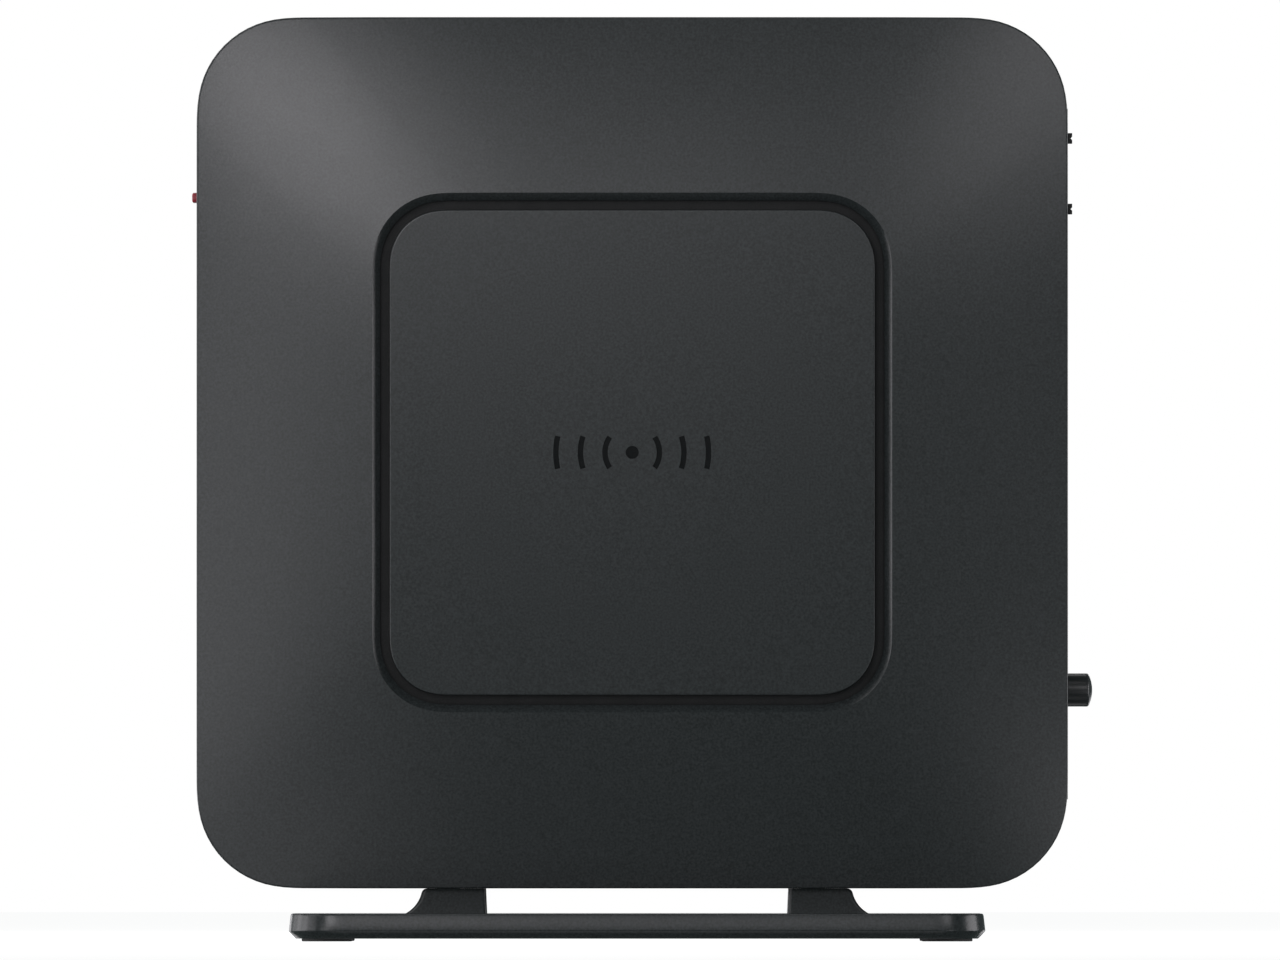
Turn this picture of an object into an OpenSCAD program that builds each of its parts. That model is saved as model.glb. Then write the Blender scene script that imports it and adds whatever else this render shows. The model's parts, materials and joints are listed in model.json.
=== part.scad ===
// Upright square Wi-Fi router on a low removable stand.
// X runs from the front edge (-X, lights) to the rear edge (+X, sockets), Y across the thin body, Z up.
// The origin is the centre of the stand's footprint, on the table.

/* [Body] */
// Width of the body, front edge to rear edge
body_w = 160; // [156:1:164]
// Height of the body
body_h = 160; // [156:1:164]
// Thickness of the body at its centre
body_t = 36.5; // [36:0.5:38]
// Radius of the body's corners, seen from the side
corner_r = 17.7; // [14:0.1:20]
// Radius that crowns each side, from edge to edge both ways
crown_r = 500; // [480:10:700]
// How far the side covers' crown would rise above the centre panel, if it ran on across the window
crown_rise = 1.65; // [1.5:0.05:1.8]
// Wall of the side covers
wall = 2; // [1.8:0.1:2.2]
// Shadow gap between the two side covers
seam = 0.3; // [0.1:0.1:0.5]
// Distance of the body's centre in front of the stand's centre
body_ahead = 0.9; // [0:0.1:2]

/* [Centre panels] */
// Width and height of the raised centre panel
panel_w = 89; // [86:0.5:90]
// Radius of the centre panel's corners
panel_r = 10; // [8:0.5:12]
// Radius that crowns the centre panel
panel_crown_r = 2600; // [2000:100:4000]
// Width and height of the window in the side cover
window_w = 92.6; // [92:0.2:93]
// Width and height of the chamfered mouth of the window
mouth_w = 95.8; // [94:0.2:97]
// Depth of the engraved signal mark
mark_depth = 0.35; // [0.2:0.05:0.5]

/* [Stand] */
// Length of the stand plate
plate_w = 127.6; // [120:0.2:130]
// Depth of the stand plate, across the body
plate_d = 72; // [68:1:80]
// Thickness of the stand plate
plate_t = 4.6; // [4.4:0.1:5]
// Radius of the stand plate's corners
plate_r = 9; // [8:0.5:12]
// Height of the posts between plate and body
post_h = 4.6; // [4.4:0.1:5]
// Diameter of the round feet
foot_d = 9.3; // [8:0.1:10]
// How far the feet stand out of the plate
foot_h = 0.5; // [0.3:0.1:1]
// Spacing of the two wall screw holes
wall_screw_pitch = 36; // [30:1:40]
// Diameter of the wall screw holes
wall_screw_d = 4.2; // [3.5:0.1:5]

/* [Controls] */
// Height of the setup button above the table
setup_z = 136.7; // [134:0.1:140]
// Height of the upper, two-position slide switch
auto_z = 147.7; // [146:0.1:148]
// Height of the lower, three-position slide switch
mode_z = 134.7; // [134:0.1:135]
// Height of the power button
power_z = 46.2; // [46:0.1:46.4]
// Diameter of the power button
power_d = 6.1; // [5.8:0.1:6.3]
// Height of the reset button
reset_z = 52.95; // [52.8:0.05:53]

/* [Sockets] */
// Height of the DC inlet
dc_z = 33; // [32:0.5:33]
// Height of the internet jack
wan_z = 120; // [119.5:0.5:120.5]
// Height of the middle of the four network jacks
lan_z = 83.25; // [83:0.05:83.5]
// Distance between neighbouring network jacks
port_pitch = 13.9; // [13.7:0.1:14]

/* [Main board] */
// Component face of the main board
board_y = 5; // [4.8:0.1:5.2]
// Thickness of the main board
board_t = 1.6; // [1.5:0.1:1.6]
// Length of the main board
board_w = 144; // [143:1:144]
// Height of the main board
board_h = 130; // [129:1:130]

/* [Hidden] */
$fn = 72;

half_t = body_t / 2;
plate_z = foot_h + plate_t;
body_z0 = plate_z + post_h;
body_x = -body_ahead;
body_z = body_z0 + body_h / 2;
front_x = body_x - body_w / 2;
rear_x = body_x + body_w / 2;
fit = 0.15;
panel_flange = 100;
// How far the crown has dropped below the panel's middle at the rim of the window
rim_y = mouth_w * mouth_w / (8 * crown_r) - crown_rise;

// Front bezel and rear panel
bezel_d = 11;
bezel_z = [30, 150];
rear_d = 21;
rear_z = [26, 153];
led_z = [for (i = [0:4]) 84 + 9 * i];

// Setup button: its width across the edge, its height and the end of its stem
setup_button_w = 7;
setup_button_h = 1.8;
setup_proud = 0.93;
setup_stem_x = -71.5;

// Slide switches: knob height, knob depth, its middle in Y
knob_h = 1.94;
knob_d = 2.4;
knob_y = 2.75;
knob_proud = 0.95;
knob_notch = 0.3;
slide_box_x = 72.4;
auto_travel = [-2, 0];
mode_travel = [-2, 2];

// Power button, reset button and DC inlet
power_y = 0.75;
power_proud = 4.6;
power_dome = 0.75;
power_cap_x = 69.2;
reset_y = 2.6;
jack_face = rear_x - 0.2;
plug_bore_d = 6.3;

// DC jack: its box starts clear of the lower rear case screw
dc_box_x = 65.2;
dc_box_h = 9;
dc_nose_d = 8.4;
plug_depth = 10.5;
plug_pin_d = 2;

// Network jacks
jack_y0 = -8.4;
jack_depth = 21.3;
cavity_depth = 14;
lan_ports = [for (i = [-1.5:1:1.5]) lan_z + i * port_pitch];
lan_h = 4 * port_pitch - 0.1;
wan_h = 15;

// Flanges that hold the bezel and the rear panel behind the covers
bezel_flange = 1.8;
rear_flange = 1.2;
flange_t = 0.95;
bezel_flange_d = 15;
rear_flange_d = 18.8;

// Light guide's collecting bar
guide_bar_x = -73.5;
guide_bar_t = 2.1;

// Fixings, as X and Z distances from the body's centre
case_posts = [for (x = [-62, 62], z = [-62, 62]) [x, z]];
board_posts = [[-45.1, -58.7], [30.9, -58.7], [-45.1, 58.3], [30.9, 58.3]];
case_head_y = 2.2;

// Main board outline and the parts on its component face
board_x = 2;
board_back = board_y + board_t;
sink_w = 52;
sink_h = 40;
sink_z = 82;
sink_y = board_y - 2.3;
pin_spots = [[-22, sink_z + 12], [22, sink_z - 12]];

// Feet and posts of the stand
foot_spots = [for (x = [-56.8, 56.8], y = [-29, 29]) [x, y]];
foot_seat = 1;
countersink = 2.2;
post_shoulder = 1.2;

// Hooks on the stand: each holds in a slot in the bottom of the body
post_x = 33.65;
post_d = 22;
hook_d = 10;
hook_neck = 4;
hook_reach = 4;
hook_start = 3;
hook_head = [0.3, 2.2];
slide_out = 6;

// Antennas lie flat against the right cover
antenna_y = 9.2;
antenna_t = 0.8;
lead_d = 1.2;

// Routes of the antenna leads, from antenna to socket
route_top_front = [
    [-32, 8.6, 160], [-32, 8.2, 157.6], [-32.2, 7, 156.2], [-32.5, 5, 156], [-32.8, 3.4, 154.6],
    [-33.2, 3, 152], [-33.6, 3.2, 149.4], [-34, 3.3, 147],
];
route_top_rear = [
    [32, 8.6, 160], [31, 8.2, 157.6], [29.5, 7, 156.2], [27.5, 5, 156], [25, 3.5, 154.6],
    [22, 3.6, 152.8], [18, 4, 151], [14, 4.1, 149.2], [10, 4.1, 147.3], [6, 4.1, 145.3],
    [2, 4.1, 143.3], [-2, 4.1, 141.2], [-6, 4.1, 139], [-10, 4.1, 136.8], [-14, 4, 134.5],
    [-18, 3.7, 132.2], [-21.5, 3.4, 130],
];
route_front_upper = [
    [-73.5, 8.6, 124], [-73.4, 8.2, 126], [-72.8, 7, 127.6], [-72, 5, 128], [-71, 3.6, 127.8],
    [-69.4, 3, 127], [-67.6, 3.3, 126.2],
];
route_front_lower = [for (p = route_front_upper) [p[0], p[1], 204 - p[2]]];

// ---- Helpers ----

// Rounded rectangle, centred
module rounded_rect(w, h, r) {
    square([w - 2 * r, h], center = true);
    square([w, h - 2 * r], center = true);
    for (x = [-1, 1], y = [-1, 1])
        translate([x * (w / 2 - r), y * (h / 2 - r)]) circle(r);
}

// Extrudes a side view (X, Z) from y0 to y1
module along_y(y0, y1) {
    translate([0, y1, 0]) rotate([90, 0, 0]) linear_extrude(y1 - y0) children();
}

// Box from its lowest to its highest corner
module span_box(a, b) {
    translate(a) cube(b - a);
}

// Cylinder along Y, X or Z through a point of the other two directions
module rod_y(x, z, r, y0, y1) {
    translate([x, y0, z]) rotate([-90, 0, 0]) cylinder(r = r, h = y1 - y0);
}
module rod_x(y, z, r, x0, x1) {
    translate([x0, y, z]) rotate([0, 90, 0]) cylinder(r = r, h = x1 - x0);
}
module rod_z(x, y, r, z0, z1) {
    translate([x, y, z0]) cylinder(r = r, h = z1 - z0);
}

module at_body() {
    translate([body_x, 0, body_z]) children();
}

// Two crossed barrels of radius r that touch the plane y = -top
module pillow(r, top, d) {
    intersection() {
        translate([0, r - top, -body_h]) cylinder(r = r - d, h = 2 * body_h, $fn = 720);
        translate([-body_w, r - top, 0]) rotate([0, 90, 0])
            cylinder(r = r - d, h = 2 * body_w, $fn = 720);
    }
}

// The left side's crown, moved inwards by d
module crown(d) {
    pillow(crown_r, half_t + crown_rise, d);
}

// The left panel's flatter crown, moved inwards by d
module panel_crown(d) {
    pillow(panel_crown_r, half_t, d);
}

// Rounded block under the left crown, moved inwards by d, up to y1
module crowned_block(w, h, r, d, y1) {
    intersection() {
        along_y(-half_t - 1, y1) rounded_rect(w, h, r);
        crown(d);
    }
}

// Chamfer of the window: a rounded square that narrows from w0 at y0 to w1 at y1
module window_chamfer(w0, w1, mid_r, y0, y1) {
    reach = mid_r + (w0 - w1) / 4;
    core = w0 / 2 - reach;
    for (x = [-core, core], z = [-core, core])
        translate([x, y0, z]) rotate([-90, 0, 0])
            cylinder(r1 = reach, r2 = w1 / 2 - core, h = y1 - y0);
    for (turn = [0, 90]) rotate([0, turn, 0])
        translate([0, 0, -core]) linear_extrude(2 * core)
            polygon([[-w0 / 2, y0], [w0 / 2, y0], [w1 / 2, y1], [-w1 / 2, y1]]);
}

// ---- Side covers ----

// Vent slots along the top edge, and between the hook slots along the bottom edge
module vent_slots() {
    for (i = [-9:9]) translate([i * 4.5 - 0.9, -10, body_h / 2 - 5]) cube([1.8, 7, 10]);
    for (i = [-4:4]) translate([i * 4.5 + body_ahead - 0.9, -10, -body_h / 2 - 5]) cube([1.8, 7, 10]);
}

// What both covers give way to: bezel, rear panel, hooks
module cover_cutouts() {
    span_box([front_x - 1, -bezel_d / 2 - fit, bezel_z[0] - fit],
             [front_x + 3.5, bezel_d / 2 + fit, bezel_z[1] + fit]);
    span_box([rear_x - wall - 0.05, -rear_d / 2 - fit, rear_z[0] - fit],
             [rear_x + 1, rear_d / 2 + fit, rear_z[1] + fit]);
    for (c = [-post_x, post_x])
        span_box([c - hook_start - slide_out - 0.4, -hook_d / 2 - 0.3, body_z0 - 1],
                 [c - hook_start + hook_neck + 0.3, hook_d / 2 + 0.3, body_z0 + wall + 0.01]);
}

module left_shell() {
    at_body() difference() {
        crowned_block(body_w, body_h, corner_r, 0, -seam / 2);
        crowned_block(body_w - 2 * wall, body_h - 2 * wall, corner_r - wall, wall, 1);
        along_y(-half_t - 1, 0) rounded_rect(window_w, window_w, panel_r + 1.8);
        window_chamfer(mouth_w, window_w, panel_r + 2.6, -half_t + rim_y, -half_t + rim_y + 1.6);
        along_y(-half_t - 1, -half_t + rim_y + 0.01) rounded_rect(mouth_w, mouth_w, panel_r + 3.4);
        vent_slots();
    }
}

module left_cover() {
    color("#3a3d3f") {
        difference() {
            left_shell();
            cover_cutouts();
        }
        for (p = case_posts) at_body() difference() {
            intersection() {
                rod_y(p[0], p[1], 3, -half_t, -0.2);
                crown(wall - 0.3);
            }
            rod_y(p[0], p[1], 1.25, -8, 0);
        }
    }
}

// Lip inside the seam, carried by the right cover
module seam_lip() {
    difference() {
        at_body() {
            along_y(-1.5, 0.5) lip_ring(2.1, 3.2);
            along_y(0.3, 2.5) lip_ring(wall - 0.2, 3.2);
        }
        span_box([front_x - 1, -10, bezel_z[0] - 3], [front_x + 6, 10, bezel_z[1] + 3]);
        span_box([rear_x - 8, -10, rear_z[0] - 3], [rear_x + 1, 10, rear_z[1] + 3]);
        for (c = [-post_x, post_x])
            span_box([c - 11, -10, body_z0 - 1], [c + 6, 10, body_z0 + 6]);
    }
}

module lip_ring(outer, inner) {
    difference() {
        rounded_rect(body_w - 2 * outer, body_h - 2 * outer, corner_r - outer);
        rounded_rect(body_w - 2 * inner, body_h - 2 * inner, corner_r - inner);
    }
}

module right_cover() {
    color("#3a3d3f") {
        difference() {
            union() {
                mirror([0, 1, 0]) left_shell();
                for (p = case_posts) at_body() intersection() {
                    rod_y(p[0], p[1], 3.6, 0, half_t);
                    mirror([0, 1, 0]) crown(0.5);
                }
            }
            cover_cutouts();
            for (p = case_posts) at_body() {
                rod_y(p[0], p[1], 1.45, -1, half_t);
                rod_y(p[0], p[1], 2.8, case_head_y, half_t);
            }
        }
        for (p = board_posts) at_body() difference() {
            intersection() {
                rod_y(p[0], p[1], 2.8, board_back, half_t);
                mirror([0, 1, 0]) crown(wall - 0.3);
            }
            rod_y(p[0], p[1], 1, board_back - 1, board_back + 6);
        }
        seam_lip();
    }
}

// ---- Centre panels ----

// Raised square with a flange behind the cover, hollow at the back
module panel_moulding() {
    difference() {
        union() {
            intersection() {
                along_y(-half_t - 1, -half_t + 5) rounded_rect(panel_w, panel_w, panel_r);
                panel_crown(0);
            }
            crowned_block(panel_flange, panel_flange, panel_r + 5, wall + 0.1, -half_t + 9);
        }
        intersection() {
            along_y(-half_t - 1, 0)
                rounded_rect(panel_w - 2 * wall, panel_w - 2 * wall, panel_r - wall);
            panel_crown(wall);
        }
        crown(wall + 1.3);
    }
}

// Generic signal mark: a dot between three pairs of arcs
module signal_mark() {
    rod_y(0, 0, 1.2, -half_t - 1, -half_t + mark_depth);
    intersection() {
        for (r = [5, 9.5, 14]) difference() {
            rod_y(0, 0, r + 0.5, -half_t - 1, -half_t + mark_depth);
            rod_y(0, 0, r - 0.5, -half_t - 2, -half_t + 2);
        }
        cube([40, 2 * body_t, 6.2], center = true);
    }
}

module left_panel() {
    color("#34383a") at_body() difference() {
        panel_moulding();
        signal_mark();
    }
}

// Seat of the rating label on the right panel
module label_block(grow) {
    translate([0, 0, -22]) along_y(-half_t - 1, 0)
        rounded_rect(60 + grow, 26 + grow, 1.5);
}

module right_panel() {
    color("#34383a") at_body() mirror([0, 1, 0]) difference() {
        panel_moulding();
        difference() {
            label_block(0.4);
            panel_crown(0.35);
        }
    }
}

module rating_label() {
    color("#c9cccd") at_body() mirror([0, 1, 0]) difference() {
        intersection() {
            label_block(0);
            panel_crown(0.18);
        }
        panel_crown(0.33);
    }
}

// ---- Front edge ----

// Window of width w and height h through the front edge
module edge_window(w, z, h) {
    span_box([front_x - 1, -w / 2, z - h / 2], [front_x + 4, w / 2, z + h / 2]);
}

module front_bezel() {
    flange_x = front_x + wall + 1;
    color("#131516") difference() {
        union() {
            span_box([front_x, -bezel_d / 2, bezel_z[0]], [flange_x, bezel_d / 2, bezel_z[1]]);
            span_box([flange_x - flange_t, -bezel_flange_d / 2, bezel_z[0] - bezel_flange],
                     [flange_x, bezel_flange_d / 2, bezel_z[1] + bezel_flange]);
        }
        edge_window(setup_button_w + 0.4, setup_z, setup_button_h + 0.4);
        span_box([front_x + 2.1, -5.2, setup_z - 2.2], [flange_x + 1, 5.2, setup_z + 2.2]);
        for (z = led_z) edge_window(4, z, 1.4);
    }
}

// Five light pipes on a collecting bar
module light_guide() {
    color("#dfe6e8") {
        for (z = led_z)
            span_box([front_x + 0.1, -1.9, z - 0.6], [guide_bar_x + 0.5, 1.9, z + 0.6]);
        span_box([guide_bar_x, -1.9, led_z[0] - 2],
                 [guide_bar_x + guide_bar_t, board_y - 0.4, led_z[4] + 2]);
    }
}

module status_leds() {
    color("#e8e4c8") for (z = led_z)
        chip(guide_bar_x + guide_bar_t + 2.4, z, 1.6, 3, 1.2);
}

// Bar with a collar behind the bezel and a stem that reaches its switch
module setup_button() {
    w = setup_button_w / 2;
    h = setup_button_h / 2;
    color("#a33a44") {
        span_box([front_x - setup_proud, -w, setup_z - h], [front_x + 3, w, setup_z + h]);
        span_box([front_x + 2.35, -4.8, setup_z - 1.8], [front_x + 3.2, 4.8, setup_z + 1.8]);
        span_box([front_x + 3, -1.5, setup_z - h], [setup_stem_x, 3.6, setup_z + h]);
    }
}

module setup_switch_plunger() {
    color("#e9e6df")
        span_box([setup_stem_x + 0.05, 1.9, setup_z - 1.2], [-68.9, 3.6, setup_z + 1.2]);
}

module setup_switch_body() {
    color("#26282a") difference() {
        span_box([-69.5, 0.5, setup_z - 3], [-65.8, board_y, setup_z + 3]);
        span_box([-70, 1.75, setup_z - 1.35], [-68.2, 3.75, setup_z + 1.35]);
    }
}

// ---- Rear edge ----

module slide_slot(z, travel) {
    span_box([rear_x - 5, knob_y - knob_d / 2 - 0.2, z + travel[0] - knob_h / 2 - 0.25],
             [rear_x + 1, knob_y + knob_d / 2 + 0.2, z + travel[1] + knob_h / 2 + 0.25]);
}

module jack_window(z, h) {
    span_box([rear_x - 5, jack_y0 - fit, z - h / 2 - fit],
             [rear_x + 1, board_y + fit, z + h / 2 + fit]);
}

module rear_panel() {
    flange_x = rear_x - wall - 1.3;
    color("#17191a") difference() {
        union() {
            span_box([flange_x, -rear_d / 2, rear_z[0]], [rear_x, rear_d / 2, rear_z[1]]);
            span_box([flange_x, -rear_flange_d / 2, rear_z[0] - rear_flange],
                     [flange_x + flange_t, rear_flange_d / 2, rear_z[1] + rear_flange]);
        }
        jack_window(lan_z, lan_h);
        jack_window(wan_z, wan_h);
        slide_slot(auto_z, auto_travel);
        slide_slot(mode_z, mode_travel);
        rod_x(0, dc_z, dc_nose_d / 2 + fit, rear_x - 5, rear_x + 1);
        rod_x(power_y, power_z, power_d / 2 + 0.2, rear_x - 5, rear_x + 1);
        rod_x(reset_y, reset_z, 1, rear_x - 5, rear_x + 1);
    }
}

// Knob of a slide switch: a bar with a small V notch across its tip, on a narrow foot
module slide_knob(z) {
    color("#0f1011") difference() {
        union() {
            span_box([slide_box_x + 0.2, knob_y - knob_d / 2, z - knob_h / 2],
                     [rear_x + knob_proud, knob_y + knob_d / 2, z + knob_h / 2]);
            span_box([slide_box_x - 1.2, knob_y - 0.7, z - 0.7],
                     [slide_box_x + 0.6, knob_y + 0.7, z + 0.7]);
        }
        translate([rear_x + knob_proud - knob_notch, 0, z]) rotate([0, 45, 0])
            cube([1, 2 * (knob_y + knob_d), 1]);
    }
}

module slide_switch_body(z, travel) {
    color("#9a9da0") difference() {
        span_box([slide_box_x - 4.9, 0.5, z - 5.5], [slide_box_x, board_y, z + 5.5]);
        span_box([slide_box_x - 1.5, knob_y - 0.85, z + travel[0] - 0.95],
                 [slide_box_x + 1, knob_y + 0.85, z + travel[1] + 0.95]);
    }
}

module auto_switch_knob() { slide_knob(auto_z); }
module auto_switch_body() { slide_switch_body(auto_z, auto_travel); }
module mode_switch_knob() { slide_knob(mode_z); }
module mode_switch_body() { slide_switch_body(mode_z, mode_travel); }

// Round push cap with a domed end, a stop collar and a socket for the plunger
module power_button_cap() {
    r = power_d / 2;
    dome_r = (r * r + power_dome * power_dome) / (2 * power_dome);
    dome_angle = asin(r / dome_r);
    tip = rear_x + power_proud - power_cap_x;
    dome = [for (i = [0:8]) let (a = dome_angle * (1 - i / 8))
        [dome_r * sin(a), tip - dome_r * (1 - cos(a))]];
    color("#3a3d3f") difference() {
        union() {
            translate([power_cap_x, power_y, power_z]) rotate([0, 90, 0])
                rotate_extrude() polygon(concat([[0, 0], [r, 0]], dome));
            rod_x(power_y, power_z, r + 0.8, 74.2, 75.5);
        }
        power_bar(power_cap_x - 1, power_cap_x + 3.8, 1.75);
    }
}

// Square bar along the power button's line, from its middle to its sides by half
module power_bar(x0, x1, half) {
    span_box([x0, power_y - half, power_z - half], [x1, power_y + half, power_z + half]);
}

module power_switch_plunger() {
    color("#e9e6df") power_bar(60.6, power_cap_x + 3.7, 1.7);
}

module power_switch_body() {
    color("#33363a") difference() {
        power_bar(53, power_cap_x - 2.8, board_y - power_y);
        power_bar(57.5, power_cap_x, 1.9);
    }
}

module reset_button() {
    color("#e9e6df") rod_x(reset_y, reset_z, 0.85, 69.5, 75.5);
}

module reset_switch_body() {
    color("#26282a") difference() {
        span_box([66.5, 0.6, reset_z - 2.05], [70.6, board_y, reset_z + 2.05]);
        rod_x(reset_y, reset_z, 0.95, 69, 71);
    }
}

// ---- Sockets ----

module dc_jack_body() {
    color("#141516") difference() {
        union() {
            span_box([dc_box_x, -board_y, dc_z - dc_box_h / 2],
                     [rear_x - 3.4, board_y, dc_z + dc_box_h / 2]);
            rod_x(0, dc_z, dc_nose_d / 2, rear_x - 4, jack_face);
        }
        rod_x(0, dc_z, plug_bore_d / 2, jack_face - plug_depth, jack_face + 1);
        rod_x(0, dc_z, plug_pin_d / 2 + 0.05, dc_box_x + 0.5, jack_face);
        span_box([69.5, -board_y - 1, dc_z - 1.2], [75, -2, dc_z + 1.2]);
    }
}

module dc_jack_pin() {
    color("#c9b56a") {
        rod_x(0, dc_z, plug_pin_d / 2, dc_box_x + 0.7, jack_face - 1.5);
        translate([jack_face - 1.5, 0, dc_z]) rotate([0, 90, 0])
            cylinder(r1 = plug_pin_d / 2, r2 = 0.6, h = 0.5);
    }
}

// Flat side contact, bowed into the bore
module dc_jack_spring() {
    color("#c9b56a") translate([0, 0, dc_z - 1]) linear_extrude(2)
        polygon([[69.8, -4.8], [74.7, -4.8], [74.7, -4.5], [73.2, -3], [72.2, -2.6], [71.2, -3],
                 [69.8, -4.5]]);
}

// One plug cavity with its latch step, open to the rear
module port_cavity(z) {
    x0 = jack_face - cavity_depth;
    span_box([x0, -3.6, z - 5.95], [jack_face + 1, 3.4, z + 5.95]);
    span_box([x0, -5.3, z - 3.2], [jack_face + 1, -3.5, z + 3.2]);
    span_box([x0 + 6, -6.4, z - 1.7], [jack_face + 1, -5.2, z + 1.7]);
}

module jack_body(z, h, ports) {
    difference() {
        span_box([jack_face - jack_depth, jack_y0, z - h / 2], [jack_face, board_y, z + h / 2]);
        for (p = ports) port_cavity(p);
    }
}

// Eight sprung contacts that rise from the port's mouth to its back
module port_contacts(z) {
    for (i = [-3.5:1:3.5])
        translate([0, 0, z + i * 1.02 - 0.18]) linear_extrude(0.36)
            polygon([[76.6, 3.4], [76.6, 3.05], [75.8, 3.0], [67.6, 1.5], [67.2, 1.75], [75.4, 3.4]]);
}

module wan_jack_body() {
    color("#2b5f9e") jack_body(wan_z, wan_h, [wan_z]);
}

module wan_jack_contacts() {
    color("#d4b55c") port_contacts(wan_z);
}

module lan_jack_body() {
    color("#1b1d1f") jack_body(lan_z, lan_h, lan_ports);
}

module lan_jack_contacts() {
    color("#d4b55c") for (p = lan_ports) port_contacts(p);
}

// ---- Main board ----

module main_board() {
    color("#1f5c3a") difference() {
        translate([board_x, 0, body_z]) along_y(board_y, board_back) rounded_rect(board_w, board_h, 2);
        for (p = case_posts) at_body() rod_y(p[0], p[1], 4, 0, 10);
        for (p = board_posts) at_body() rod_y(p[0], p[1], 1.3, 0, 10);
        for (p = pin_spots) rod_y(p[0], p[1], 1.6, 0, 10);
    }
}

// Chip of size w by h by t, centred at (x, z) on the component face
module chip(x, z, w, h, t) {
    span_box([x - w / 2, board_y - t, z - h / 2], [x + w / 2, board_y, z + h / 2]);
}

module processor_chip() { color("#1c1d1f") chip(0, sink_z, 17, 17, 1.5); }
module memory_chip() { color("#1c1d1f") chip(0, 112, 13, 9, 1.1); }
module flash_chip() { color("#1c1d1f") chip(16, 112, 8, 8, 1.6); }
module ethernet_chip() { color("#1c1d1f") chip(33.5, 82, 12, 12, 1.1); }
module radio_chip_5g() { color("#1c1d1f") chip(-45, 125, 10, 10, 0.9); }
module radio_chip_2g() { color("#1c1d1f") chip(-47, 62, 9, 9, 0.9); }

module thermal_pad() {
    color("#8f9aa8") span_box([-8, sink_y + 0.02, sink_z - 8], [8, board_y - 1.52, sink_z + 8]);
}

module heat_sink() {
    color("#a9adb1") difference() {
        union() {
            span_box([-sink_w / 2, sink_y - 2, sink_z - sink_h / 2],
                     [sink_w / 2, sink_y, sink_z + sink_h / 2]);
            for (i = [-4:4])
                span_box([i * 4.2 - 0.6, sink_y - 11, sink_z - sink_h / 2],
                         [i * 4.2 + 0.6, sink_y - 1.9, sink_z + sink_h / 2]);
        }
        for (p = pin_spots) rod_y(p[0], p[1], 1.7, sink_y - 3, sink_y + 1);
    }
}

module heat_sink_pins() {
    color("#e9e6df") for (p = pin_spots) {
        rod_y(p[0], p[1], 1.45, sink_y - 2.5, board_back + 1.5);
        rod_y(p[0], p[1], 2.8, sink_y - 3.4, sink_y - 2.02);
        translate([p[0], board_back + 0.1, p[1]]) rotate([-90, 0, 0])
            cylinder(r1 = 1.9, r2 = 0.9, h = 2.2);
    }
}

// Thin metal can, open towards the board
module shield_can(x, z, w, h) {
    color("#b9bcc0") difference() {
        chip(x, z, w, h, 2.8);
        chip(x, z, w - 0.6, h - 0.6, 2.5);
    }
}

module shield_can_5g() { shield_can(-45, 125, 34, 30); }
module shield_can_2g() { shield_can(-47, 62, 28, 28); }

module network_transformers() {
    color("#1c1d1f") for (z = [69, 93, 118]) chip(47, z, 12, 16, 6);
}

// Aluminium can capacitors on square plastic bases
module capacitors() {
    color("#b9bcc0") for (p = [[50, 33], [42, 41], [-10, 42], [-8, 147], [12, 128]]) {
        chip(p[0], p[1], 6.6, 6.6, 1);
        rod_y(p[0], p[1], 3.15, board_y - 7.7, board_y - 0.9);
    }
}

module power_inductors() {
    color("#3b3f44") for (p = [[8, 40], [20, 48], [32, 52]]) {
        chip(p[0], p[1], 6.2, 6.2, 3);
        chip(p[0], p[1], 7, 3, 0.8);
    }
}

// Small coaxial sockets with the plugs of the leads on them
module antenna_socket(x, z) {
    chip(x, z, 2.6, 2.6, 0.5);
    rod_y(x, z, 1.1, board_y - 2.4, board_y - 0.4);
}

module antenna_sockets() {
    color("#d4b55c") {
        antenna_socket(-34, 145.4);
        antenna_socket(-22.9, 129.2);
        antenna_socket(-66, 125.8);
        antenna_socket(-66, 78.2);
    }
}

// ---- Antennas ----

module antenna_plate(x0, z0, w, h) {
    color("#27563c") span_box([x0, antenna_y, z0], [x0 + w, antenna_y + antenna_t, z0 + h]);
}

module antenna_top_front() { antenna_plate(-58, 157.5, 30, 8); }
module antenna_top_rear() { antenna_plate(28, 157.5, 30, 8); }
module antenna_front_upper() { antenna_plate(-77.5, 98, 8, 30); }
module antenna_front_lower() { antenna_plate(-77.5, 66, 8, 30); }

// Foam between each antenna and the right cover
module antenna_pads() {
    y0 = antenna_y + antenna_t;
    color("#55585a") {
        for (x = [-52, 34]) span_box([x, y0, 158.5], [x + 18, y0 + 2, 164.5]);
        for (z = [72, 104]) span_box([-76.5, y0, z], [-70.5, y0 + 2, z + 18]);
    }
}

// Round lead swept along a route
function unit(v) = v / norm(v);
function heading(route, i) = unit(route[min(i + 1, len(route) - 1)] - route[max(i - 1, 0)]);
function ring(route, i, r) =
    let (t = heading(route, i), a = unit(cross(t, [0.35, 0.2, 1])), b = cross(t, a))
    [for (k = [0:7]) route[i] + r * (cos(45 * k) * a + sin(45 * k) * b)];

module lead(route) {
    n = len(route);
    points = [for (i = [0:n - 1]) each ring(route, i, lead_d / 2)];
    sides = [for (i = [0:n - 2], k = [0:7])
        let (a = 8 * i + k, b = 8 * i + (k + 1) % 8)
        each [[a, b, b + 8], [a, b + 8, a + 8]]];
    ends = [[for (k = [7:-1:0]) k], [for (k = [0:7]) 8 * (n - 1) + k]];
    color("#1a1a1a") polyhedron(points, concat(sides, ends));
}

module lead_top_front() { lead(route_top_front); }
module lead_top_rear() { lead(route_top_rear); }
module lead_front_upper() { lead(route_front_upper); }
module lead_front_lower() { lead(route_front_lower); }

// ---- Screws ----

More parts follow.
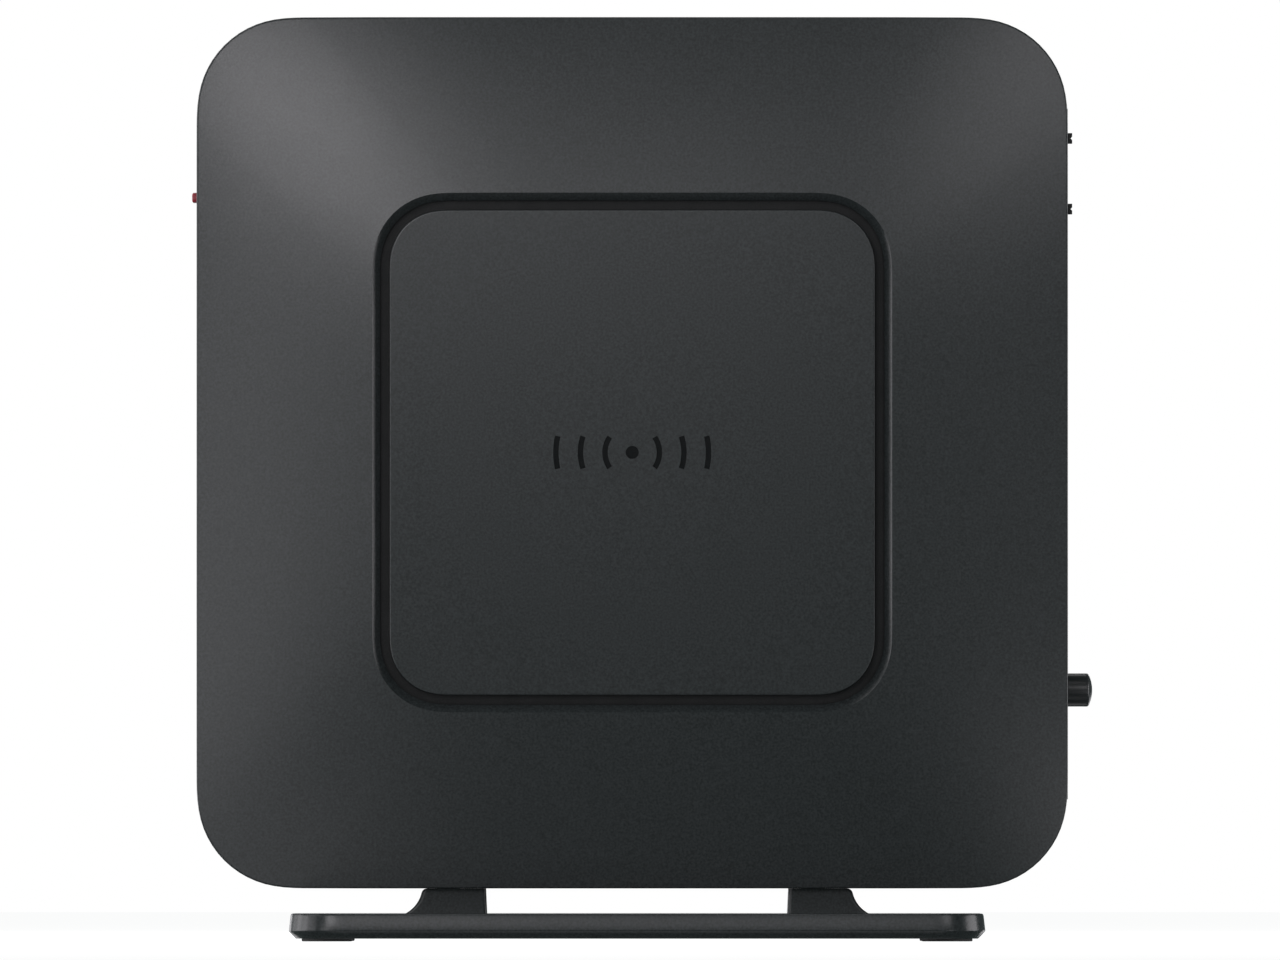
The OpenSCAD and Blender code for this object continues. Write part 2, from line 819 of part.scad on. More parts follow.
// Cross-recessed pan-head screw pointing along -Y from its seat
module screw(x, z, seat, head_r, head_h, shank_r, length) {
    difference() {
        union() {
            rod_y(x, z, head_r, seat, seat + head_h);
            rod_y(x, z, shank_r, seat - length, seat + 0.1);
        }
        for (turn = [0, 90]) translate([x, seat + head_h, z]) rotate([0, turn, 0])
            cube([2.4, 1.6, 0.5], center = true);
    }
}

module case_screws() {
    color("#8d9094") for (p = case_posts)
        at_body() screw(p[0], p[1], case_head_y + 0.02, 2.5, 1.8, 1.2, 9.5);
}

module board_screws() {
    color("#b9bcc0") for (p = board_posts)
        at_body() mirror([0, 1, 0]) screw(p[0], p[1], -board_y + 0.02, 2.4, 1.5, 0.95, 7);
}

// ---- Stand ----

// Plate outline, shrunk by d
module plate_outline(d) {
    rounded_rect(plate_w - 2 * d, plate_d - 2 * d, plate_r - d);
}

// Plate with a wide chamfer underneath and a fine one on top
module plate_solid() {
    edge = 1.3;
    top_edge = 0.3;
    translate([0, 0, foot_h + edge]) linear_extrude(plate_t - edge - top_edge) plate_outline(0);
    chamfer_layer(foot_h, edge, edge, 0);
    chamfer_layer(plate_z - top_edge, top_edge, 0, top_edge);
}

// Sloping layer of the plate's outline, from four cones and two wedges
module chamfer_layer(z, h, low, high) {
    cx = plate_w / 2 - plate_r;
    cy = plate_d / 2 - plate_r;
    for (x = [-cx, cx], y = [-cy, cy])
        translate([x, y, z]) cylinder(r1 = plate_r - low, r2 = plate_r - high, h = h);
    translate([-cx, 0, z]) rotate([90, 0, 90]) linear_extrude(2 * cx)
        wedge(plate_d / 2 - low, plate_d / 2 - high, h);
    translate([0, cy, z]) rotate([90, 0, 0]) linear_extrude(2 * cy)
        wedge(plate_w / 2 - low, plate_w / 2 - high, h);
}

module wedge(low, high, h) {
    polygon([[-low, 0], [low, 0], [high, h], [-high, h]]);
}

// Side view of one post on the +X side: flared outside, rounded shoulder, slightly drafted inside
module post_profile() {
    top = body_z0 - 0.1;
    difference() {
        polygon([[27.6, plate_z - 0.1], [43.5, plate_z - 0.1], [43.5, top], [27.8, top]]);
        translate([45.3, 10.3]) circle(5.88);
        difference() {
            translate([38.6, top - post_shoulder]) square([6, 2]);
            translate([38.6, top - post_shoulder]) circle(post_shoulder);
        }
    }
}

module post() {
    intersection() {
        along_y(-post_d / 2, post_d / 2) post_profile();
        translate([35.5, 0, 0]) linear_extrude(20) rounded_rect(17, post_d, 2.5);
    }
}

// Neck and head that hold in the body's slot
module hook(c) {
    x0 = c - hook_start;
    z0 = body_z0 + wall;
    span_box([x0, -hook_d / 2, plate_z], [x0 + hook_neck, hook_d / 2, z0 + hook_head[1]]);
    span_box([x0, -hook_d / 2, z0 + hook_head[0]],
             [x0 + hook_neck + hook_reach, hook_d / 2, z0 + hook_head[1]]);
}

module stand_base() {
    color("#3e4142") difference() {
        union() {
            plate_solid();
            post();
            mirror([1, 0, 0]) post();
            hook(-post_x);
            hook(post_x);
        }
        for (p = foot_spots) rod_z(p[0], p[1], foot_d / 2 + 0.1, 0, foot_h + foot_seat);
        for (x = [-wall_screw_pitch / 2, wall_screw_pitch / 2]) {
            rod_z(x, 0, wall_screw_d / 2, -1, plate_z + 1);
            translate([x, 0, plate_z - countersink])
                cylinder(r1 = wall_screw_d / 2, r2 = wall_screw_d / 2 + countersink + 0.2,
                         h = countersink + 0.2);
        }
        translate([0, 0, foot_h - 1]) linear_extrude(3.2) plate_pockets();
    }
}

// Hollows moulded into the underside, clear of the feet and the screw holes
module plate_pockets() {
    for (y = [-20, 20]) translate([0, y]) rounded_rect(94, 22, 3);
    for (x = [-40, 40]) translate([x, 0]) rounded_rect(22, 12, 3);
}

module stand_feet() {
    color("#2a2b2c") for (p = foot_spots) rod_z(p[0], p[1], foot_d / 2, 0, foot_h + foot_seat - 0.02);
}

left_cover();
right_cover();
left_panel();
right_panel();
rating_label();
front_bezel();
light_guide();
status_leds();
setup_button();
setup_switch_plunger();
setup_switch_body();
rear_panel();
auto_switch_knob();
auto_switch_body();
mode_switch_knob();
mode_switch_body();
power_button_cap();
power_switch_plunger();
power_switch_body();
reset_button();
reset_switch_body();
dc_jack_body();
dc_jack_pin();
dc_jack_spring();
wan_jack_body();
wan_jack_contacts();
lan_jack_body();
lan_jack_contacts();
main_board();
processor_chip();
thermal_pad();
heat_sink();
heat_sink_pins();
memory_chip();
flash_chip();
ethernet_chip();
radio_chip_5g();
radio_chip_2g();
shield_can_5g();
shield_can_2g();
network_transformers();
capacitors();
power_inductors();
antenna_sockets();
antenna_top_front();
antenna_top_rear();
antenna_front_upper();
antenna_front_lower();
antenna_pads();
lead_top_front();
lead_top_rear();
lead_front_upper();
lead_front_lower();
board_screws();
case_screws();
stand_base();
stand_feet();
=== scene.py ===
import json
import math

import bmesh
import bpy
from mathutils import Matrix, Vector


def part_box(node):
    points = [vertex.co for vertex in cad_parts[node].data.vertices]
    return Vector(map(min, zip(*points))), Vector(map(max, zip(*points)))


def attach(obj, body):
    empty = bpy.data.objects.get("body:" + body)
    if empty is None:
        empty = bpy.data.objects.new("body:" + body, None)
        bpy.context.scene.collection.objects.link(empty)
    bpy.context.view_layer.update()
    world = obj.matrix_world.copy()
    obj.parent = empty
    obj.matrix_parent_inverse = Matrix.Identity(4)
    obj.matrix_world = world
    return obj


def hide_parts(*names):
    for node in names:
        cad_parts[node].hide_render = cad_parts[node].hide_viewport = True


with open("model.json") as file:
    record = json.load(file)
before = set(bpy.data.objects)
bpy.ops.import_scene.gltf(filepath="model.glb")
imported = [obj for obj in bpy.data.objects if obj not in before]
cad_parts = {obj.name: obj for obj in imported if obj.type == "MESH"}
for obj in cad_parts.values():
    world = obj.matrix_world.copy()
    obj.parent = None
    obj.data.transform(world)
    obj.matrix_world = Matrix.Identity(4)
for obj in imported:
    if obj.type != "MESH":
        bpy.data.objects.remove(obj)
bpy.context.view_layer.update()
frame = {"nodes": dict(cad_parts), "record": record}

NODES = frame["nodes"]
MM = 0.001

# ---------------------------------------------------------------- driving dimensions, in mm
BODY = 160.0                    # side of the square body
HALF_T = 18.25                  # half of its thickness, at the middle
CROWN_R = 500.0                 # radius that crowns each side
CROWN_RISE = 1.65               # how far that crown would rise above the panel, across the window
PILLOW = 4                      # 2 is a sphere; more makes each side tilt towards its own edge
WALL = 2.0
SEAM = 0.3                      # gap between the two covers
EDGE_R = 0.25                   # rounding between the crowned side and the flat rim
CORNER_REACH = 21.3             # how far a corner's curve runs along each side
LEAST_REACH = 0.6               # a shrunk outline's corners keep at least this
WINDOW = 92.6                   # opening for the centre panel
MOUTH = 95.4                    # outer edge of the window's chamfer
MOUTH_REACH = 16.0
THROAT_REACH = MOUTH_REACH - 1.6
CHAMFER_DROP = 1.35             # how far in the chamfer ends
PANEL = 89.0
PANEL_REACH = 12.0
PANEL_R = 2600.0                # the centre panel is flatter than the shell
PANEL_EDGE_R = 0.18
SUPPORT = 0.12                  # ring that keeps shading flat beside an edge
FLANGE = 100.0                  # the panel's flange, behind the window's edge
FLANGE_REACH = 18.0
FLANGE_DROP = 2.1               # from the shell's surface down to the flange
SCREW_POST = 62                 # the case screws' posts, each way from the body's middle
HEAD_R = 2.8                    # bore for a case screw's head
MARK_DEPTH = 0.35
MARK_DOT_R = 1.2
MARK_ARCS = (5.0, 9.5, 14.0)    # radii of the mark's arcs
MARK_LINE_HALF = 0.5            # half of the width of an arc's line
MARK_ARC_HALF = 3.1             # half of an arc's height
PLATE = (127.6, 72.0)
PLATE_REACH = 10.0
PLATE_BOTTOM, PLATE_TOP = 0.5, 5.1
SHOULDER = 0.8                  # rounding at the top of a post
POST_REACH = 0.8
FOOT_X, FOOT_Y, FOOT_R = 56.8, 29.0, 4.65
HOOK_X = 33.65                  # the hooks' middles, each way from the stand's middle
HOOK_HALF = 5.0                 # half of a hook's width
HOOK_START, HOOK_NECK, HOOK_REACH = 3.0, 4.0, 4.0
HOOK_GAP = 0.3                  # room round a hook in its slot
SLIDE_OUT = 6.0                 # how far the stand slides to free its hooks


def low(node):
    return [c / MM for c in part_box(node)[0]]


def high(node):
    return [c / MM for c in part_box(node)[1]]


SHELL_LOW, SHELL_HIGH = low("left_cover"), high("left_cover")
BODY_X = (SHELL_LOW[0] + SHELL_HIGH[0]) / 2
BODY_Z = (SHELL_LOW[2] + SHELL_HIGH[2]) / 2
FRONT_X, REAR_X = SHELL_LOW[0], SHELL_HIGH[0]
BODY_Z0 = SHELL_LOW[2]
POST_TOP = BODY_Z0 - 0.01        # just clear of the body, so no light shows between
SCREW_POSTS = [(x, z) for x in (-SCREW_POST, SCREW_POST) for z in (-SCREW_POST, SCREW_POST)]
FEET = [(x, y) for x in (-FOOT_X, FOOT_X) for y in (-FOOT_Y, FOOT_Y)]
HOOKS = (-HOOK_X, HOOK_X)


# ---------------------------------------------------------------- mesh helpers
def corner_curve(steps):
    """Quarter turn whose curvature rises and falls smoothly, inside a unit square."""
    ease, substeps = 0.25, 60       # share of the turn with rising curvature, and finer steps
    fine = substeps * steps
    peak = (math.pi / 2) / (1 - ease)
    heading, x, y = 0.0, 0.0, 0.0
    points = [(0.0, 0.0)]
    for i in range(fine):
        s = (i + 0.5) / fine
        heading += peak * min(1.0, s / ease, (1 - s) / ease) / fine
        x += math.sin(heading) / fine
        y += math.cos(heading) / fine
        points.append((x, y))
    reach = points[-1][0]
    return [(u / reach, v / reach) for u, v in points[::substeps]]


CORNER_STEPS, SIDE_STEPS = 20, 12
CURVE = corner_curve(CORNER_STEPS)


def outline(width, height, reach):
    """Points of a rounded rectangle about the origin, the same number for every size."""
    hw, hh = width / 2, height / 2
    corner = [(-hw + u * reach, hh - reach + v * reach) for u, v in CURVE]
    top = [(-hw + reach + (width - 2 * reach) * k / SIDE_STEPS, hh) for k in range(1, SIDE_STEPS)]
    next_corner = [(-x, y) for x, y in reversed(corner)]
    side = [(hw, hh - reach - (height - 2 * reach) * k / SIDE_STEPS) for k in range(1, SIDE_STEPS)]
    half = corner + top + next_corner + side
    return half + [(-x, -y) for x, y in half]


def shrunk(width, height, reach, inset):
    """The same outline moved inwards; its corners stay at least a little rounded."""
    return outline(width - 2 * inset, height - 2 * inset, max(reach - inset, LEAST_REACH))


def loft(name, rings, closed=False, caps=True):
    """Mesh through rings of equal length; closed joins the last ring to the first."""
    count = len(rings[0])
    vertices = [Vector(p) * MM for ring in rings for p in ring]
    faces = []
    spans = len(rings) if closed else len(rings) - 1
    for r in range(spans):
        a, b = r * count, ((r + 1) % len(rings)) * count
        for i in range(count):
            j = (i + 1) % count
            faces.append((a + i, a + j, b + j, b + i))
    if caps and not closed:
        faces.append(tuple(reversed(range(count))))
        faces.append(tuple((len(rings) - 1) * count + i for i in range(count)))
    mesh = bpy.data.meshes.new(name)
    mesh.from_pydata(vertices, [], faces)
    return finished(name, mesh)


def finished(name, mesh):
    """Object from a mesh with its faces turned outwards."""
    bm = bmesh.new()
    bm.from_mesh(mesh)
    bmesh.ops.recalc_face_normals(bm, faces=bm.faces)
    bm.to_mesh(mesh)
    bm.free()
    piece = bpy.data.objects.new(name, mesh)
    bpy.context.scene.collection.objects.link(piece)
    return piece


def crown(x, z):
    """How far the shell's pillow-shaped side lies below the middle of the panel."""
    half = (abs(x) ** PILLOW + abs(z) ** PILLOW) ** (1 / PILLOW)
    return CROWN_R - math.sqrt(CROWN_R ** 2 - half * half) - CROWN_RISE


def panel_crown(x, z):
    """How far the panel's face has dropped from its middle."""
    return (x * x + z * z) / (2 * PANEL_R)


def on_side(points, depth, side):
    """Ring on one side of the body: depth(x, z) is the distance in from the body's widest plane."""
    return [(BODY_X + x, side * (HALF_T - depth(x, z)), BODY_Z + z) for x, z in points]


def at_y(points, y, side):
    return [(BODY_X + x, side * y, BODY_Z + z) for x, z in points]


def mixed(a, b, t):
    return [((1 - t) * p[0] + t * q[0], (1 - t) * p[1] + t * q[1]) for p, q in zip(a, b)]


def deeper(surface, depth):
    """The same crowned surface, a distance further in."""
    return lambda x, z: surface(x, z) + depth


def rounded_edge(size, reach, radius, surface, side, turn, steps):
    """Rings round the edge between a piece's wall and its crowned face."""
    rings = []
    for step in range(steps + 1):
        a = math.radians(turn) * step / steps
        ring = shrunk(size, size, reach, radius * (1 - math.cos(a)))
        rings.append(on_side(ring, deeper(surface, radius * (1 - math.sin(a))), side))
    return rings


def box_mesh(name, a, b, bevel=0.0):
    """Box between two corners, in mm, as a cutter or a plain hidden part of a piece."""
    bm = bmesh.new()
    bmesh.ops.create_cube(bm, size=1.0)
    for v in bm.verts:
        v.co = Vector([(a[k] + b[k]) / 2 + v.co[k] * (b[k] - a[k]) for k in range(3)]) * MM
    if bevel:
        bmesh.ops.bevel(bm, geom=bm.edges[:], offset=bevel * MM, segments=2, profile=0.5,
                        affect="EDGES")
    mesh = bpy.data.meshes.new(name)
    bm.to_mesh(mesh)
    bm.free()
    return finished(name, mesh)


def lathe(name, profile, origin, axis, steps=48, caps=True):
    """Turned shape: profile is (radius, distance along the axis), origin in mm."""
    place = {
        "x": lambda r, c, s, d: (d, r * c, r * s),
        "y": lambda r, c, s, d: (r * c, d, r * s),
        "z": lambda r, c, s, d: (r * c, r * s, d),
    }[axis]
    rings = []
    for r, d in profile:
        ring = []
        for k in range(steps):
            a = 2 * math.pi * k / steps
            p = place(r, math.cos(a), math.sin(a), d)
            ring.append([origin[i] + p[i] for i in range(3)])
        rings.append(ring)
    return loft(name, rings, caps=caps)


def join(pieces):
    """Several objects as one mesh object, which keeps the first one's name."""
    bm = bmesh.new()
    for piece in pieces:
        bm.from_mesh(piece.data)
    bm.to_mesh(pieces[0].data)
    bm.free()
    for piece in pieces[1:]:
        bpy.data.objects.remove(piece)
    return pieces[0]


def apply_modifiers(piece):
    graph = bpy.context.evaluated_depsgraph_get()
    mesh = bpy.data.meshes.new_from_object(piece.evaluated_get(graph))
    piece.modifiers.clear()
    piece.data = mesh


def cut(piece, cutters):
    """Cuts one joined mesh of separate cutters out of a piece."""
    tool = join(cutters)
    modifier = piece.modifiers.new("cut", "BOOLEAN")
    modifier.operation = "DIFFERENCE"
    modifier.solver = "EXACT"
    modifier.object = tool
    apply_modifiers(piece)
    bpy.data.objects.remove(tool)


def smooth(piece, degrees=32):
    """Smooth shading with sharp edges above an angle."""
    mesh = piece.data
    mesh.polygons.foreach_set("use_smooth", [True] * len(mesh.polygons))
    bm = bmesh.new()
    bm.from_mesh(mesh)
    for edge in bm.edges:
        edge.smooth = len(edge.link_faces) == 2 and edge.calc_face_angle(0) < math.radians(degrees)
    bm.to_mesh(mesh)
    bm.free()


def softened(piece, width):
    """Small rounding on a piece's sharp edges."""
    sharp_degrees = 35
    bevel = piece.modifiers.new("edge", "BEVEL")
    bevel.limit_method = "ANGLE"
    bevel.angle_limit = math.radians(sharp_degrees)
    bevel.width = width * MM
    bevel.segments = 2
    bevel.harden_normals = False
    weighted = piece.modifiers.new("normals", "WEIGHTED_NORMAL")
    weighted.keep_sharp = True


# ---------------------------------------------------------------- materials
def new_material(name):
    material = bpy.data.materials.new(name)
    material.use_nodes = True
    shader = material.node_tree.nodes["Principled BSDF"]
    return material, material.node_tree, shader


def object_noise(tree, size, detail=2.0, roughness=0.5, grain=None):
    """Noise of a size in mm, fixed to the object so that it moves with the piece."""
    place = tree.nodes.new("ShaderNodeTexCoord").outputs["Object"]
    if grain:
        stretch = tree.nodes.new("ShaderNodeMapping")
        stretch.inputs["Scale"].default_value = grain
        tree.links.new(place, stretch.inputs["Vector"])
        place = stretch.outputs["Vector"]
    noise = tree.nodes.new("ShaderNodeTexNoise")
    noise.inputs["Scale"].default_value = 1 / (size * MM)
    noise.inputs["Detail"].default_value = detail
    noise.inputs["Roughness"].default_value = roughness
    tree.links.new(place, noise.inputs["Vector"])
    return noise.outputs["Fac"]


def ramp(tree, source, low_value, high_value):
    """Spreads the middle of a noise's range between two values."""
    start, end = 0.3, 0.7
    node = tree.nodes.new("ShaderNodeMapRange")
    node.inputs["From Min"].default_value = start
    node.inputs["From Max"].default_value = end
    node.inputs["To Min"].default_value = low_value
    node.inputs["To Max"].default_value = high_value
    tree.links.new(source, node.inputs["Value"])
    return node.outputs["Result"]


def tint(tree, shader, noise, a, b):
    """Base colour that drifts between two colours with a noise."""
    factor, colour_a, colour_b, result = 0, 6, 7, 2     # the Mix node's sockets for colours
    node = tree.nodes.new("ShaderNodeMix")
    node.data_type = "RGBA"
    node.inputs[colour_a].default_value = (*a, 1)
    node.inputs[colour_b].default_value = (*b, 1)
    tree.links.new(ramp(tree, noise, 0, 1), node.inputs[factor])
    tree.links.new(node.outputs[result], shader.inputs["Base Color"])


def gloss(tree, shader, noise, least, most):
    """Roughness that drifts between two values with a noise."""
    tree.links.new(ramp(tree, noise, least, most), shader.inputs["Roughness"])


def bump(tree, shader, height, depth):
    """Surface relief with a depth in mm."""
    node = tree.nodes.new("ShaderNodeBump")
    node.inputs["Strength"].default_value = 1.0
    node.inputs["Distance"].default_value = depth * MM
    tree.links.new(height, node.inputs["Height"])
    tree.links.new(node.outputs["Normal"], shader.inputs["Normal"])


def scaled(colour, factor):
    return tuple(c * factor for c in colour)


def moulded_plastic(name, colour, roughness, grain=0.35, grain_depth=0.0025, mottle=0.06):
    """Fine-grain moulded plastic: spark-eroded texture, slight mottling, uneven sheen."""
    uneven = 0.006
    material, tree, shader = new_material(name)
    fine = object_noise(tree, size=grain, detail=1.5, roughness=0.6)
    broad = object_noise(tree, size=9)
    tint(tree, shader, fine, scaled(colour, 1 - mottle), scaled(colour, 1 + mottle))
    gloss(tree, shader, broad, roughness - uneven, roughness + uneven)
    bump(tree, shader, fine, grain_depth)
    return material


def shell_plastic(name):
    """Charcoal plastic of the covers and centre panels, with a grain that can be seen."""
    return moulded_plastic(name, (0.027, 0.0315, 0.0325), 0.25, grain=0.42, grain_depth=0.008,
                           mottle=0.35)


def gloss_plastic(name, colour, roughness):
    """Polished plastic with a faint moulding ripple and a slightly uneven polish."""
    material, tree, shader = new_material(name)
    ripple = object_noise(tree, size=6, detail=1.0)
    fine = object_noise(tree, size=0.2)
    tint(tree, shader, fine, scaled(colour, 0.94), scaled(colour, 1.06))
    gloss(tree, shader, fine, roughness * 0.85, roughness * 1.2)
    bump(tree, shader, ripple, depth=0.01)
    return material


def metal(name, colour, roughness, grain=(1, 1, 1)):
    """Metal with a directional or even surface grain and slight tarnish."""
    material, tree, shader = new_material(name)
    fine = object_noise(tree, size=0.3, detail=3.0, grain=grain)
    tarnish = object_noise(tree, size=4, detail=3.0)
    tint(tree, shader, tarnish, scaled(colour, 0.86), colour)
    gloss(tree, shader, fine, roughness * 0.8, roughness * 1.25)
    shader.inputs["Metallic"].default_value = 1.0
    bump(tree, shader, fine, depth=0.004)
    return material


def rubber(name, colour):
    """Matt rubber or foam with a little dust on it."""
    material, tree, shader = new_material(name)
    fine = object_noise(tree, size=0.25, detail=3.0)
    dust = object_noise(tree, size=3, detail=3.0)
    tint(tree, shader, dust, scaled(colour, 0.85), scaled(colour, 1.25))
    gloss(tree, shader, fine, 0.68, 0.85)
    bump(tree, shader, fine, depth=0.01)
    return material


def clear_guide(name):
    """Frosted light-pipe acrylic."""
    frosted, pale = (0.55, 0.60, 0.62), (0.72, 0.77, 0.79)
    material, tree, shader = new_material(name)
    fine = object_noise(tree, size=0.3)
    tint(tree, shader, fine, frosted, pale)
    gloss(tree, shader, fine, 0.32, 0.45)
    shader.inputs["Subsurface Weight"].default_value = 0.3
    shader.inputs["Subsurface Scale"].default_value = 1 * MM
    bump(tree, shader, fine, depth=0.006)
    return material


def solder_mask(name, colour, copper):
    """Circuit board: green mask over faint copper tracks on a grid."""
    track_pitch, track_width = 9, 0.05
    material, tree, shader = new_material(name)
    place = tree.nodes.new("ShaderNodeTexCoord")
    tracks = tree.nodes.new("ShaderNodeTexBrick")
    tracks.inputs["Scale"].default_value = 1 / (track_pitch * MM)
    tracks.inputs["Mortar Size"].default_value = track_width
    tracks.inputs["Color1"].default_value = (*colour, 1)
    tracks.inputs["Color2"].default_value = (*scaled(colour, 1.25), 1)
    tracks.inputs["Mortar"].default_value = (*copper, 1)
    turn = tree.nodes.new("ShaderNodeMapping")
    turn.inputs["Rotation"].default_value = (math.pi / 2, 0, 0)
    tree.links.new(place.outputs["Object"], turn.inputs["Vector"])
    tree.links.new(turn.outputs["Vector"], tracks.inputs["Vector"])
    tree.links.new(tracks.outputs["Color"], shader.inputs["Base Color"])
    gloss(tree, shader, object_noise(tree, size=0.5), 0.28, 0.4)
    bump(tree, shader, tracks.outputs["Fac"], depth=0.03)
    return material


def label_film(name, colour):
    """Blank printed film, faintly laminated."""
    material, tree, shader = new_material(name)
    fine = object_noise(tree, size=0.4, detail=3.0)
    tint(tree, shader, fine, scaled(colour, 0.96), scaled(colour, 1.03))
    gloss(tree, shader, fine, 0.38, 0.48)
    bump(tree, shader, fine, depth=0.003)
    return material


MATERIALS = {
    "charcoal_plastic": shell_plastic("charcoal_plastic"),
    "panel_plastic": shell_plastic("panel_plastic"),
    "label": label_film("label", (0.30, 0.31, 0.32)),
    "gloss_black": gloss_plastic("gloss_black", (0.008, 0.008, 0.009), 0.10),
    "rear_black": moulded_plastic("rear_black", (0.020, 0.021, 0.022), 0.45),
    "light_guide": clear_guide("light_guide"),
    "led": gloss_plastic("led", (0.80, 0.74, 0.50), 0.3),
    "button_red": moulded_plastic("button_red", (0.33, 0.030, 0.045), 0.38, mottle=0.03),
    "switch_white": moulded_plastic("switch_white", (0.72, 0.70, 0.64), 0.42, mottle=0.03),
    "switch_black": moulded_plastic("switch_black", (0.020, 0.021, 0.022), 0.40),
    "button_black": gloss_plastic("button_black", (0.010, 0.010, 0.011), 0.30),
    "bright_metal": metal("bright_metal", (0.60, 0.61, 0.63), 0.32, (0.15, 1, 1)),
    "dark_screws": metal("dark_screws", (0.22, 0.22, 0.23), 0.38),
    "jack_black": moulded_plastic("jack_black", (0.016, 0.017, 0.018), 0.38),
    "jack_blue": moulded_plastic("jack_blue", (0.020, 0.095, 0.31), 0.38, mottle=0.04),
    "gold_contacts": metal("gold_contacts", (0.83, 0.60, 0.25), 0.22, (1, 1, 0.2)),
    "board_green": solder_mask("board_green", (0.010, 0.085, 0.040), (0.022, 0.16, 0.075)),
    "chip_black": moulded_plastic("chip_black", (0.020, 0.020, 0.022), 0.55, grain=0.15),
    "thermal_pad": rubber("thermal_pad", (0.30, 0.34, 0.40)),
    "heat_sink": metal("heat_sink", (0.68, 0.69, 0.71), 0.42, (1, 1, 0.1)),
    "cap_plastic": moulded_plastic("cap_plastic", (0.030, 0.032, 0.033), 0.30),
    "foam": rubber("foam", (0.10, 0.105, 0.11)),
    # painted shade: near-black finish that darkens the floor of the groove round each panel
    "painted_groove_shade": rubber("painted_groove_shade", (0.012, 0.0125, 0.013)),
    "lead_black": rubber("lead_black", (0.016, 0.016, 0.017)),
    "foot_rubber": rubber("foot_rubber", (0.028, 0.028, 0.029)),
}
SLOT_OF = {s["node"]: s["material_slot"] for s in frame["record"]["subparts"]}
BODY_OF = {n: b for b, ns in frame["record"]["behaviour"]["bodies"].items() for n in ns}


def paint(piece, material):
    piece.data.materials.clear()
    piece.data.materials.append(material)


def add_finish(piece, name):
    """Adds one more material to a piece and returns its number there."""
    piece.data.materials.append(MATERIALS[name])
    return len(piece.data.materials) - 1


def stand_in(piece, node, material=None):
    """The piece takes the CAD node's place, body and finish."""
    paint(piece, material or MATERIALS[SLOT_OF[node]])
    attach(piece, BODY_OF[node])
    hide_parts(node)


# ---------------------------------------------------------------- side covers
def cover_rings(side):
    """Rings of one cover, from the seam outwards, over the side and back along the inside."""
    seam_y, seam_r, seam_mid = SEAM / 2, 0.22, 0.06     # rounding beside the seam, halfway at mid
    rim_end, face_steps, inside_steps, lip = 6.0, 15, 5, 1.0
    outer = outline(BODY, BODY, CORNER_REACH)
    mouth = outline(MOUTH, MOUTH, MOUTH_REACH)
    throat = outline(WINDOW, WINDOW, THROAT_REACH)
    inside = shrunk(BODY, BODY, CORNER_REACH, WALL)
    rings = [
        at_y(shrunk(BODY, BODY, CORNER_REACH, seam_r), seam_y, side),
        at_y(shrunk(BODY, BODY, CORNER_REACH, seam_mid), seam_y + seam_mid, side),
        at_y(outer, seam_y + seam_r, side),
        at_y(outer, rim_end, side),
    ]
    rings += rounded_edge(BODY, CORNER_REACH, EDGE_R, crown, side, turn=84, steps=4)
    inner_edge = shrunk(BODY, BODY, CORNER_REACH, EDGE_R + SUPPORT)
    window_rim = outline(MOUTH + 2 * SUPPORT, MOUTH + 2 * SUPPORT, MOUTH_REACH)
    for step in range(face_steps + 1):
        rings.append(on_side(mixed(inner_edge, window_rim, step / face_steps), crown, side))
    rings.append(on_side(mouth, crown, side))
    for t in (0.06, 0.94):                              # these keep the chamfer's shading flat
        rings.append(on_side(mixed(mouth, throat, t), deeper(crown, CHAMFER_DROP * t), side))
    rings.append(on_side(throat, deeper(crown, CHAMFER_DROP), side))
    rings.append(on_side(throat, deeper(crown, WALL), side))
    for step in range(1, inside_steps + 1):
        rings.append(on_side(mixed(throat, inside, step / inside_steps), deeper(crown, WALL), side))
    rings.append(at_y(inside, seam_y + lip, side))
    rings.append(at_y(inside, seam_y, side))
    return rings


def strip_slot(node, x0, x1, margin, half):
    """Opening in the rim for a strip, a margin short of the strip's own ends."""
    fit = 0.15
    z0, z1 = low(node)[2] + margin - fit, high(node)[2] - margin + fit
    return (x0, -half - fit, z0), (x1, half + fit, z1)


def vent_row(side, middle, z, count):
    """A row of vent slots across one rim of a cover, count of them either way from the middle."""
    pitch, half, depth = 4.5, 0.9, 5.0
    seam_end, side_end = 3.0, 10.0
    near, far = sorted((side * seam_end, side * side_end))
    row = [middle + pitch * k for k in range(-count, count + 1)]
    return [((x - half, near, z - depth), (x + half, far, z + depth)) for x in row]


def cover_cutters(side):
    """Slots for the bezel, the rear panel, the stand's hooks and the vents."""
    over, through = 1.0, 0.01                           # past the outside, and past the inside
    bezel_depth, rear_depth, slide_gap = 3.5, 2.05, 0.4
    blocks = [
        strip_slot("front_bezel", FRONT_X - over, FRONT_X + bezel_depth, margin=1.8, half=5.5),
        strip_slot("rear_panel", REAR_X - rear_depth, REAR_X + over, margin=1.2, half=10.5),
    ]
    half = HOOK_HALF + HOOK_GAP
    for centre in HOOKS:
        start = centre - HOOK_START
        blocks.append(((start - SLIDE_OUT - slide_gap, -half, BODY_Z0 - over),
                       (start + HOOK_NECK + HOOK_GAP, half, BODY_Z0 + WALL + through)))
    blocks += vent_row(side, BODY_X, BODY_Z0 + BODY, count=9)
    blocks += vent_row(side, 0.0, BODY_Z0, count=4)
    return [box_mesh("cutter", a, b) for a, b in blocks]


